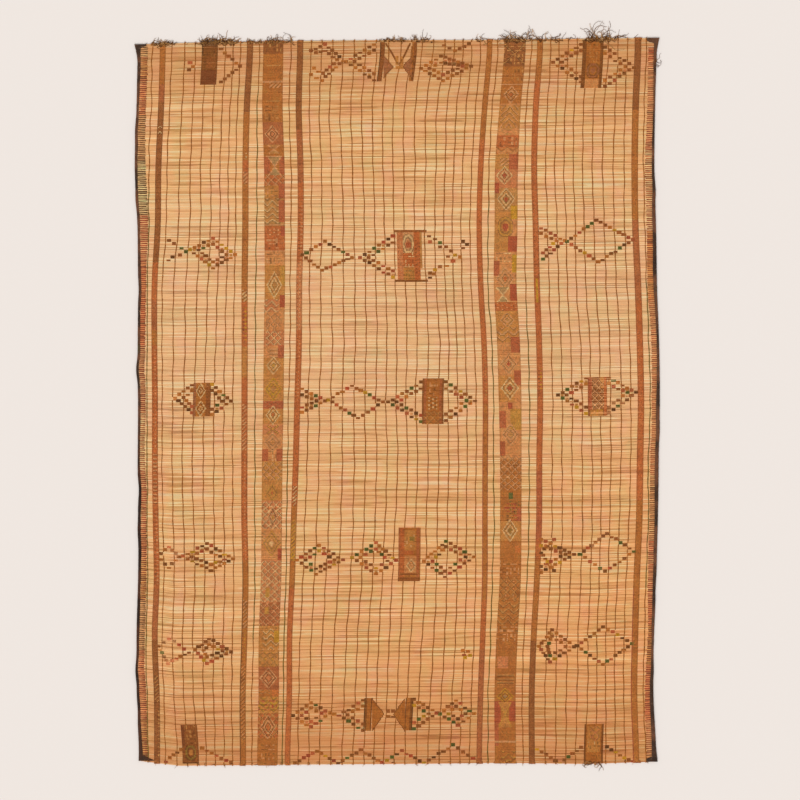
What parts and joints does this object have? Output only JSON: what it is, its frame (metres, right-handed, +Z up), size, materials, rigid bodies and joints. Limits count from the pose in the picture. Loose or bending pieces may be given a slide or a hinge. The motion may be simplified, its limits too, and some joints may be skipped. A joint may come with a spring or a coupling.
{
  "type": "leather and reed floor mat",
  "caption": "Flat floor mat of fine reed stems held by leather thongs, with laced leather bands and panels, folded leather edges and frayed ends.",
  "frame": {"origin": "middle of the whole mat, frayed ends included, on the ground under it", "axes": "+X across the mat along its stems, +Y along its length towards the frayed end, +Z up from the ground through the patterned face"},
  "size_m": [1.8089, 2.5366, 0.0053],
  "materials": {
    "reed": "dry split stems, matt with a slight sheen",
    "laced_leather": "narrow dyed strips, rust brown and ochre, matt",
    "panel_leather": "narrow dyed strips, dark brown, matt",
    "black_leather": "blackened, worn to brown at the fold",
    "frayed_leather": "dry curled thong ends, matt"
  },
  "bodies": {
    "root": {"reed_sheet": "reed", "side_lacing_left": "laced_leather", "narrow_band_1": "laced_leather", "narrow_band_2": "laced_leather", "wide_band_left": "laced_leather", "narrow_band_3": "laced_leather", "narrow_band_4": "laced_leather", "wide_band_right": "laced_leather", "narrow_band_5": "laced_leather", "narrow_band_6": "laced_leather", "side_lacing_right": "laced_leather", "panel_top_left": "panel_leather", "bar_top_1": "panel_leather", "bar_top_2": "panel_leather", "panel_top_right": "panel_leather", "panel_second_row": "panel_leather", "panel_third_row_left": "panel_leather", "panel_third_row_centre": "panel_leather", "panel_third_row_right": "panel_leather", "panel_fourth_row": "panel_leather", "bar_sixth_row_1": "panel_leather", "bar_sixth_row_2": "panel_leather", "panel_bottom_left": "panel_leather", "panel_bottom_right": "panel_leather", "binding_left": "black_leather", "binding_right": "black_leather", "frayed_end_1": "frayed_leather", "frayed_end_2": "frayed_leather", "frayed_end_3": "frayed_leather", "frayed_end_4": "frayed_leather", "frayed_end_5": "frayed_leather", "frayed_end_6": "frayed_leather", "frayed_end_7": "frayed_leather", "frayed_end_8": "frayed_leather", "frayed_end_9": "frayed_leather", "frayed_end_10": "frayed_leather", "loose_end_right": "frayed_leather", "loose_end_bottom": "frayed_leather"}
  },
  "joints": []
}
